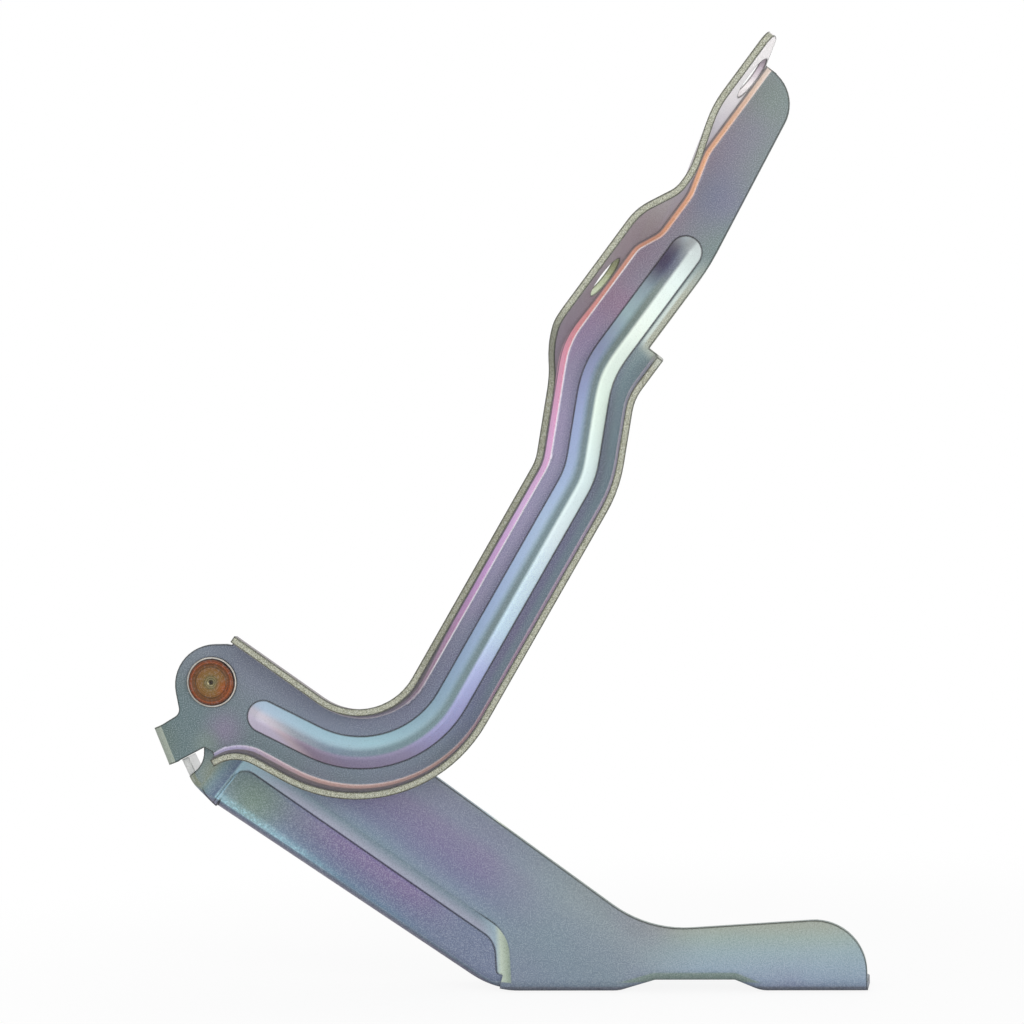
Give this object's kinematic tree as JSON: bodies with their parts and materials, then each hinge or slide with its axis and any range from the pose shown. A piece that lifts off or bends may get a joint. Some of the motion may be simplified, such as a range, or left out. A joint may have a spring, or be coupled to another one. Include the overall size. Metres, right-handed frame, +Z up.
{
  "type": "bonnet hinge",
  "caption": "Goose-neck bonnet hinge: a beaded sheet-steel arm with a stop tab swings on a rivet in a bracket with a recessed panel and a bolt-down foot.",
  "frame": {"origin": "midway between the two body bolt holes, on the underside of the bracket's foot", "axes": "+Z up from the body panel to the bonnet end, +X along the bolt row away from the pivot, +Y from the arm's side to the bracket's rear side"},
  "size_m": [0.2512, 0.0625, 0.3326],
  "materials": {
    "arm_steel": "zinc with an iridescent passivate, teal and mauve",
    "bracket_steel": "zinc with an iridescent passivate, mauve and gold-olive",
    "rivet_steel": "zinc with an amber passivate",
    "bush_metal": "sintered bronze",
    "washer_pale": "matt, cream"
  },
  "bodies": {
    "bracket": {"body_bracket": "bracket_steel", "pivot_rivet": "rivet_steel", "support_washer": "washer_pale"},
    "arm": {"bonnet_arm": "arm_steel", "pivot_bush": "bush_metal"}
  },
  "joints": [
    {"name": "bonnet_swing", "type": "hinge", "parent": "bracket", "child": "arm", "pos_m": [-0.168, -0.0165, 0.1115], "axis": [0, 1, 0], "range_deg": [-2, 57]}
  ]
}
